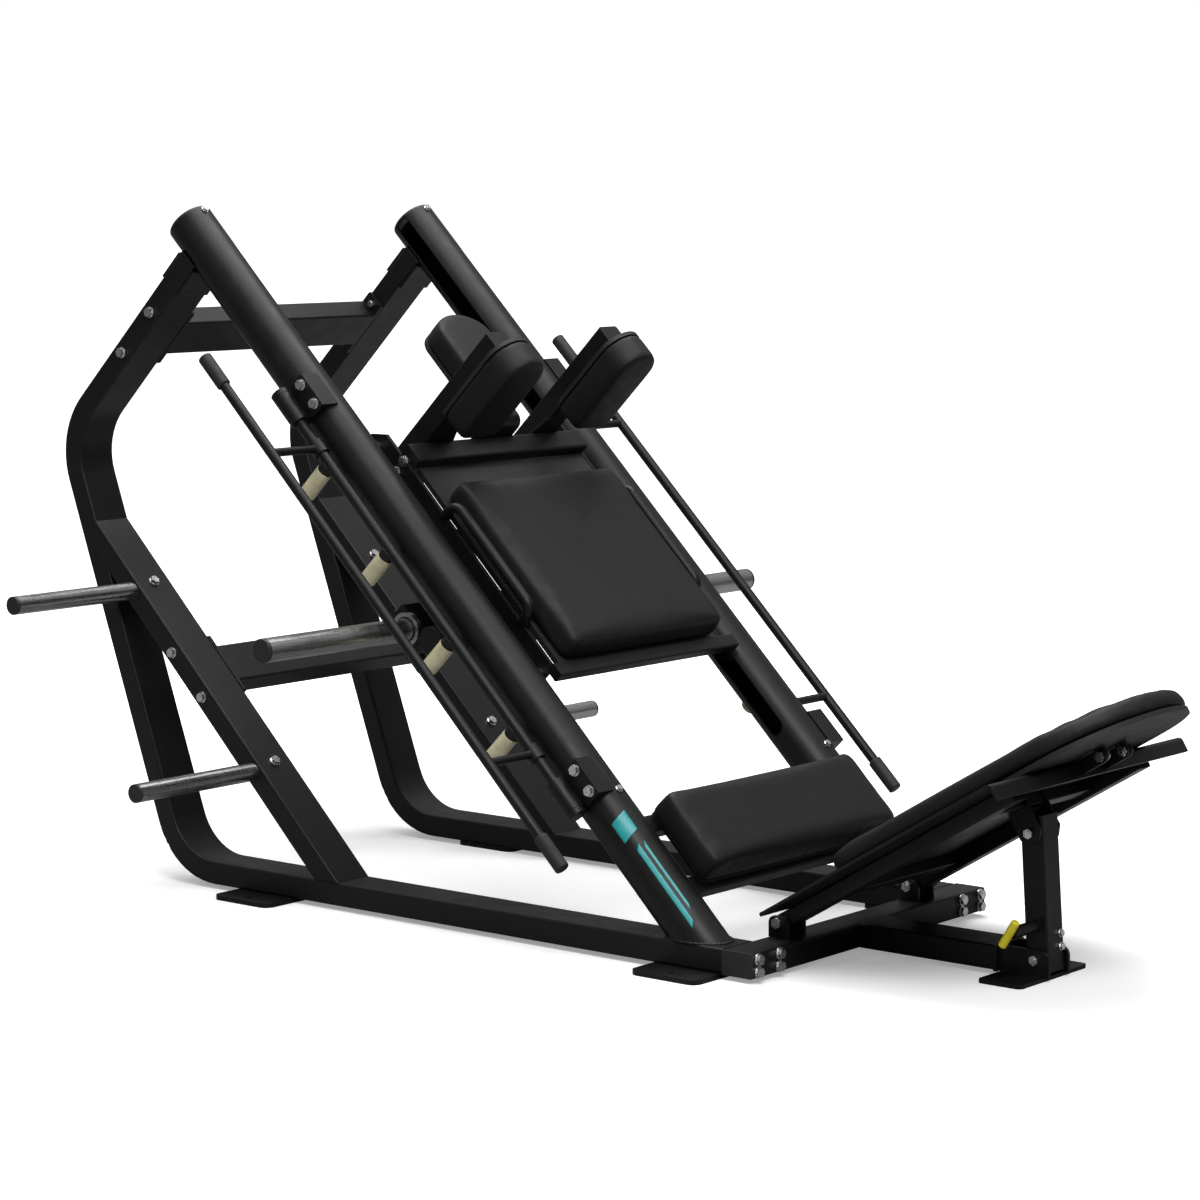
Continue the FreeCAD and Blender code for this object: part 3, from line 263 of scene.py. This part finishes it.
def zinc():
    """Bright zinc plated fasteners."""
    made = Graph("zinc_plate", Metallic=1.0)
    tone = made.cloud(90.0, 4.0)
    made.colour(made.ramp(tone, ((0.3, (0.55, 0.56, 0.58)), (0.7, (0.80, 0.80, 0.80)))))
    made.roughness(made.spread(made.cloud(300.0, 3.0), 0.18, 0.34))
    made.relief(((made.cloud(700.0, 2.0), 0.15, 0.0002),), edge=0.0006)
    return made.mat


def moulded_plastic():
    """Black moulded plastic with a fine spark texture."""
    made = Graph("moulded_plastic", Specular_IOR_Level=0.45)
    made.colour(made.ramp(made.cloud(12.0, 3.0), ((0.3, grey(0.010)), (0.7, grey(0.016)))))
    made.roughness(made.spread(made.cloud(60.0, 4.0), 0.42, 0.56))
    made.relief(((made.cells(1800.0), 0.10, 0.0002),), edge=0.0008)
    return made.mat


def rubber():
    """Dull black rubber."""
    made = Graph("rubber", Specular_IOR_Level=0.35)
    made.colour(made.ramp(made.cloud(15.0, 4.0), ((0.3, grey(0.012)), (0.7, grey(0.020)))))
    made.roughness(made.spread(made.cloud(50.0, 5.0), 0.55, 0.72))
    made.relief(((made.cells(900.0), 0.16, 0.0003),), edge=0.0008)
    return made.mat


def nylon():
    """Cream cast nylon with turning marks and a little wear."""
    made = Graph("cast_nylon", Subsurface_Weight=0.08, Subsurface_Scale=0.004)
    tone = made.cloud(35.0, 5.0)
    made.colour(made.ramp(tone, ((0.25, (0.50, 0.45, 0.28)), (0.55, (0.64, 0.59, 0.39)),
                                 (0.8, (0.72, 0.67, 0.48)))))
    made.roughness(made.spread(made.cloud(120.0, 4.0), 0.38, 0.55))
    made.relief(((made.cloud(260.0, 3.0), 0.12, 0.0004),))
    return made.mat


def yellow_plastic():
    """Glossy yellow plastic of the pull pin."""
    made = Graph("yellow_plastic", Coat_Weight=0.25, Coat_Roughness=0.15)
    tone = made.cloud(60.0, 3.0)
    made.colour(made.ramp(tone, ((0.3, (0.84, 0.70, 0.010)), (0.7, (0.94, 0.80, 0.03)))))
    made.roughness(made.spread(made.cloud(200.0, 3.0), 0.28, 0.40))
    made.relief(((made.cloud(500.0, 2.0), 0.10, 0.0003),))
    return made.mat


def painted_board():
    """Plywood backing painted black, with the grain just showing."""
    made = Graph("painted_board", Specular_IOR_Level=0.35)
    fibres = made.cloud(1.0, 5.0, made.stretch((18.0, 260.0, 260.0)))
    made.colour(made.ramp(fibres, ((0.3, grey(0.010)), (0.7, grey(0.018)))))
    made.roughness(made.spread(fibres, 0.50, 0.66))
    made.relief(((fibres, 0.22, 0.0006),))
    return made.mat


def teal_vinyl():
    """Flat teal film of the plain stripes."""
    made = Graph("teal_film", Specular_IOR_Level=0.5)
    tone = made.cloud(40.0, 3.0)
    made.colour(made.ramp(tone, ((0.3, (0.006, 0.255, 0.265)), (0.7, (0.010, 0.300, 0.310)))))
    made.roughness(made.spread(made.cloud(150.0, 3.0), 0.30, 0.42))
    made.relief(((made.cloud(600.0, 2.0), 0.08, 0.0002),))
    return made.mat


def pale_floor():
    """White floor that keeps its soft shadows near the machine and fades into the backdrop."""
    made = Graph("pale_floor", Specular_IOR_Level=0.1)
    tone = made.cloud(2.0, 2.0)
    made.colour(made.ramp(tone, ((0.3, (0.86, 0.86, 0.86)), (0.7, (0.88, 0.88, 0.88)))))
    made.roughness(made.spread(made.cloud(8.0, 2.0), 0.80, 0.90))
    distance = made.node("VectorMath", operation="LENGTH")
    made.join(made.coords, distance.inputs[0])
    glow = made.spread(distance.outputs["Value"], 0.30, 1.0, 1.6, 3.4)
    made.shader.inputs["Emission Color"].default_value = (1.0, 1.0, 1.0, 1.0)
    made.join(glow, made.shader.inputs["Emission Strength"])
    bounce = made.node("BsdfDiffuse")
    bounce.inputs["Color"].default_value = (0.30, 0.30, 0.30, 1.0)
    paths = made.node("LightPath")
    blend = made.node("MixShader")
    made.join(paths.outputs["Is Camera Ray"], blend.inputs[0])
    made.join(bounce.outputs["BSDF"], blend.inputs[1])
    made.join(made.shader.outputs["BSDF"], blend.inputs[2])
    made.join(blend.outputs["Shader"], made.tree.nodes["Material Output"].inputs["Surface"])
    return made.mat


MATERIALS = {
    "powder_coat": powder_coat(),
    "vinyl": vinyl(),
    "board": painted_board(),
    "steel": brushed_steel(),
    "zinc": zinc(),
    "plastic": moulded_plastic(),
    "rubber": rubber(),
    "nylon": nylon(),
    "yellow": yellow_plastic(),
}
TEAL = teal_vinyl()


def paint_frame():
    """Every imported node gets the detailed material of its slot."""
    for part in frame["record"]["subparts"]:
        node = NODES[part["node"]]
        paint(node, MATERIALS[part["material_slot"]])


# ---------------------------------------------------------------- upholstery
class Pad:
    """One upholstered pad: where its CAD solid is, how fine it is and how far it may swell."""

    def __init__(self, node, body, turn, voxel, swell):
        self.node = node
        self.body = body
        self.turn = turn
        self.voxel = voxel
        self.swell = swell
        self.obj = None
        self.start = None
        self.base = None


PADS = [
    Pad("back_pad", "carriage", TRACK_ANGLE, 0.0075, 0.0045),
    Pad("seat_pad", "frame", TRACK_ANGLE, 0.0070, 0.0045),
    Pad("head_pad", "carriage", TRACK_ANGLE, 0.0055, 0.0035),
    Pad("shoulder_pad_left", "carriage", TRACK_ANGLE + math.pi / 2, 0.0055, 0.0035),
    Pad("shoulder_pad_right", "carriage", TRACK_ANGLE + math.pi / 2, 0.0055, 0.0035),
    Pad("press_pad", "press_pad", -TREAD_ANGLE, 0.0080, 0.0045),
]


def evaluated_mesh(obj):
    graph = bpy.context.evaluated_depsgraph_get()
    return bpy.data.meshes.new_from_object(obj.evaluated_get(graph))


def with_modifier(obj, kind, **settings):
    """Apply one modifier to an object's mesh."""
    modifier = obj.modifiers.new(kind.lower(), kind)
    for key, value in settings.items():
        setattr(modifier, key, value)
    mesh = evaluated_mesh(obj)
    obj.modifiers.clear()
    obj.data = mesh


def set_coordinates(mesh, points):
    mesh.vertices.foreach_set("co", np.ascontiguousarray(points, dtype=np.float32).ravel())
    mesh.update()


def raw_pad(pad):
    """The CAD solid drawn in a little, in the pad's own frame, as an even net of quads."""
    points = node_points(pad.node, pad.turn)
    low, high = points.min(axis=0), points.max(axis=0)
    middle = (low + high) / 2
    size = high - low
    scale = (size - 2 * PAD_DRAW_IN) / size
    scale[2] = (size[2] - PAD_DRAW_IN) / size[2]
    points = middle + (points - middle) * scale
    points[:, 2] += low[2] - points[:, 2].min()
    mesh = NODES[pad.node].data.copy()
    set_coordinates(mesh, points)
    pad.obj = link(bpy.data.objects.new("upholstered_" + pad.node, mesh))
    with_modifier(pad.obj, "REMESH", mode="VOXEL", voxel_size=pad.voxel, use_smooth_shade=True)
    pad.start = coordinates(pad.obj.data)
    pad.base = low[2]


def add_cloth(pad):
    """Vinyl held flat on its board, blown up from inside."""
    held = pad.obj.vertex_groups.new(name="held")
    height = pad.start[:, 2] - pad.base
    for index in np.nonzero(height < pad.voxel * 0.8)[0]:
        held.add([int(index)], 1.0, "REPLACE")
    modifier = pad.obj.modifiers.new("cloth", "CLOTH")
    cloth = modifier.settings
    cloth.quality = 4
    cloth.mass = 0.3
    cloth.tension_stiffness = 40
    cloth.compression_stiffness = 40
    cloth.shear_stiffness = 20
    cloth.bending_stiffness = 12
    cloth.use_pressure = True
    cloth.uniform_pressure_force = 3.0
    cloth.vertex_group_mass = "held"
    cloth.effector_weights.gravity = 0.0
    modifier.collision_settings.use_collision = False
    modifier.point_cache.frame_start = 1
    modifier.point_cache.frame_end = CLOTH_STEPS


def finish_pad(pad):
    """Cap the swell, add the small folds at the corners and put the pad in its place."""
    mesh = evaluated_mesh(pad.obj) if pad.obj.modifiers else pad.obj.data
    points = coordinates(mesh)
    pad.obj.modifiers.clear()
    move = points - pad.start
    length = np.linalg.norm(move, axis=1, keepdims=True)
    move *= np.minimum(1.0, pad.swell / np.maximum(length, 1e-9))
    points = pad.start + move
    points[:, 2] = np.maximum(points[:, 2], pad.base)
    set_coordinates(pad.obj.data, points)
    with_modifier(pad.obj, "SMOOTH", factor=0.5, iterations=10)
    with_modifier(pad.obj, "SUBSURF", levels=1, render_levels=1)
    points = coordinates(pad.obj.data)
    set_coordinates(pad.obj.data, corner_folds(points))
    pad.obj.data.transform(Matrix.Rotation(pad.turn, 4, "X"))
    smooth(pad.obj.data)
    paint(pad.obj, MATERIALS["vinyl"])
    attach(pad.obj, pad.body)
    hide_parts(pad.node)


def corner_folds(points):
    """Vinyl gathered round the corners: shallow folds that run down the side and fade upwards."""
    low, high = points.min(axis=0), points.max(axis=0)
    middle = (low + high) / 2
    half = (high - low) / 2
    out = points.copy()
    for corner_x in (-1, 1):
        for corner_y in (-1, 1):
            pivot = middle[:2] + np.array((corner_x, corner_y)) * (half[:2] - CORNER_INSET)
            away = points[:, :2] - pivot
            distance = np.linalg.norm(away, axis=1)
            angle = np.arctan2(away[:, 1] * corner_y, away[:, 0] * corner_x)
            near = np.clip(1 - np.abs(angle - math.pi / 4) / (math.pi / 3), 0, 1)
            rim = np.clip((distance - 0.014) / 0.010, 0, 1) * (distance < CORNER_REACH)
            down = np.clip((high[2] - 0.010 - points[:, 2]) / 0.030, 0, 1)
            ripple = np.sin(angle * FOLD_COUNT + corner_x * 1.3 + corner_y * 0.7)
            depth = FOLD_DEPTH * near * rim * down * ripple
            direction = away / np.maximum(distance, 1e-9)[:, None]
            out[:, :2] += direction * depth[:, None]
    return out


def make_pads():
    for pad in PADS:
        raw_pad(pad)
    for pad in PADS:
        add_cloth(pad)
    for step in range(1, CLOTH_STEPS + 1):
        bpy.context.scene.frame_set(step)
    for pad in PADS:
        finish_pad(pad)
    bpy.context.scene.frame_set(1)


# ---------------------------------------------------------------- trim
def track_axes(node):
    """Lowest and highest corners of a node along the guide tubes: x, along and out of their plane."""
    points = node_points(node, TRACK_ANGLE)
    return points.min(axis=0), points.max(axis=0)


def make_stripes():
    """Plain teal stripes of thin film round the outer side of the left guide tube's foot."""
    low, high = track_axes("guide_tube_left")
    centre_x = (low[0] + high[0]) / 2
    centre_out = (low[2] + high[2]) / 2
    radius = (high[0] - low[0]) / 2 + STRIPE_LIFT
    lengthwise, around = 40, 10
    for index, (start, end, first, last) in enumerate(STRIPES):
        verts = []
        for i in range(lengthwise + 1):
            for j in range(around + 1):
                angle = math.radians(first + (last - first) * j / around)
                slant = STRIPE_SLANT * j / around
                along = low[1] + start + slant + (end - start - STRIPE_SLANT) * i / lengthwise
                verts.append((centre_x - radius * math.cos(angle), along,
                              centre_out + radius * math.sin(angle)))
        row = around + 1
        faces = [(i * row + j, i * row + j + 1, (i + 1) * row + j + 1, (i + 1) * row + j)
                 for i in range(lengthwise) for j in range(around)]
        turn = Matrix.Rotation(TRACK_ANGLE, 4, "X")
        verts = [turn @ Vector(v) for v in verts]
        stripe = mesh_object("foot_stripe_%d" % (index + 1), verts, faces, TEAL, "frame")
        with_modifier(stripe, "SOLIDIFY", thickness=STRIPE_FILM, offset=0.0)


def weld_bead(name, path, out, body, width):
    """A rippled weld bead along a closed path, on a face whose normal is out."""
    sides = BEAD_SIDES
    count = len(path)
    verts = []
    for i, place in enumerate(path):
        ahead = (path[(i + 1) % count] - path[i - 1]).normalized()
        side = ahead.cross(out).normalized()
        above = side.cross(ahead)
        size = width * (1.0 + 0.16 * math.sin(i * math.tau / 5.0))
        for j in range(sides):
            angle = math.tau * j / sides
            verts.append(place + (side * math.cos(angle) + above * math.sin(angle)) * size)
    faces = []
    for i in range(count):
        for j in range(sides):
            a, b = i * sides + j, i * sides + (j + 1) % sides
            c, d = ((i + 1) % count) * sides + (j + 1) % sides, ((i + 1) % count) * sides + j
            faces.append((a, b, c, d))
    bead = mesh_object(name, verts, faces, MATERIALS["powder_coat"], body)


def foot_weld(side):
    """Bead round the slanted oval where a guide tube meets its rail."""
    low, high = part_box("guide_tube_" + side)
    reach = (high[0] - low[0]) / 2
    long_reach = reach / math.sin(TRACK_ANGLE)
    middle = Vector(((high[0] + low[0]) / 2, low[1] + long_reach, low[2] + FOOT_BEAD_LIFT))
    steps = 200
    path = []
    for i in range(steps):
        angle = math.tau * i / steps
        path.append(middle + Vector((reach * math.cos(angle), long_reach * math.sin(angle), 0)))
    weld_bead("foot_weld_" + side, path, Vector((0, 0, 1)), "frame", FOOT_BEAD)


def horn_weld(side, sign):
    """Bead round a weight horn where it leaves its flange."""
    cap_low, cap_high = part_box("horn_caps")
    middle = (Vector(cap_low) + Vector(cap_high)) / 2
    radius = (cap_high[2] - cap_low[2]) / 2
    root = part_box("horn_beam")[1][0] + HORN_FLANGE
    steps = 90
    path = []
    for i in range(steps):
        angle = math.tau * i / steps
        path.append(Vector((sign * root, middle.y + radius * math.cos(angle),
                            middle.z + radius * math.sin(angle))))
    weld_bead("horn_weld_" + side, path, Vector((sign, 0, 0)), "carriage", HORN_BEAD)


def make_welds():
    for side in ("left", "right"):
        foot_weld(side)
    for side, sign in (("left", -1), ("right", 1)):
        horn_weld(side, sign)


# ---------------------------------------------------------------- studio
def make_floor():
    half = FLOOR_HALF
    mesh = bpy.data.meshes.new("floor")
    corners = [(-half, -half, 0), (half, -half, 0), (half, half, 0), (-half, half, 0)]
    mesh.from_pydata(corners, [], [(0, 1, 2, 3)])
    floor = link(bpy.data.objects.new("floor", mesh))
    paint(floor, pale_floor())


def make_light(name, place, target, size, power):
    data = bpy.data.lights.new(name, "AREA")
    data.shape = "RECTANGLE"
    data.size, data.size_y = size
    data.energy = power
    lamp = link(bpy.data.objects.new(name, data))
    lamp.location = place
    lamp.rotation_mode = "QUATERNION"
    lamp.rotation_quaternion = (Vector(target) - Vector(place)).to_track_quat("-Z", "Y")


def make_studio():
    """White surroundings for the camera, and a soft light that falls mostly from above."""
    world = bpy.data.worlds.new("studio")
    world.use_nodes = True
    tree = world.node_tree
    lit = tree.nodes["Background"]
    seen = tree.nodes.new("ShaderNodeBackground")
    seen.inputs["Strength"].default_value = 1.0
    seen.inputs["Color"].default_value = (1.0, 1.0, 1.0, 1.0)
    coords = tree.nodes.new("ShaderNodeTexCoord").outputs["Generated"]
    split = tree.nodes.new("ShaderNodeSeparateXYZ")
    height = tree.nodes.new("ShaderNodeValToRGB")
    height.color_ramp.elements[0].color = (0.16, 0.16, 0.16, 1.0)
    height.color_ramp.elements[1].color = (1.0, 1.0, 1.0, 1.0)
    paths = tree.nodes.new("ShaderNodeLightPath")
    blend = tree.nodes.new("ShaderNodeMixShader")
    tree.links.new(coords, split.inputs["Vector"])
    tree.links.new(split.outputs["Z"], height.inputs["Fac"])
    tree.links.new(height.outputs["Color"], lit.inputs["Color"])
    lit.inputs["Strength"].default_value = 0.62
    tree.links.new(paths.outputs["Is Camera Ray"], blend.inputs["Fac"])
    tree.links.new(lit.outputs["Background"], blend.inputs[1])
    tree.links.new(seen.outputs["Background"], blend.inputs[2])
    tree.links.new(blend.outputs["Shader"], tree.nodes["World Output"].inputs["Surface"])
    bpy.context.scene.world = world
    bpy.context.scene.view_settings.view_transform = "Standard"
    make_light("key", (-2.6, -3.4, 5.2), (0, 0, 0.5), (3.4, 2.4), 230)
    make_light("top", (0.6, 0.8, 5.6), (0, 0, 0.5), (5.0, 4.0), 330)


def make_camera():
    data = bpy.data.cameras.new("camera")
    data.sensor_width = SENSOR_WIDTH
    data.lens = CAMERA_LENS
    data.clip_end = 200.0
    camera = link(bpy.data.objects.new("camera", data))
    camera.location = CAMERA_PLACE
    camera.rotation_euler = (math.pi / 2 + CAMERA_PITCH, 0.0, -CAMERA_HEADING)
    bpy.context.scene.camera = camera


paint_frame()
make_pads()
make_stripes()
make_welds()
make_floor()
make_studio()
make_camera()
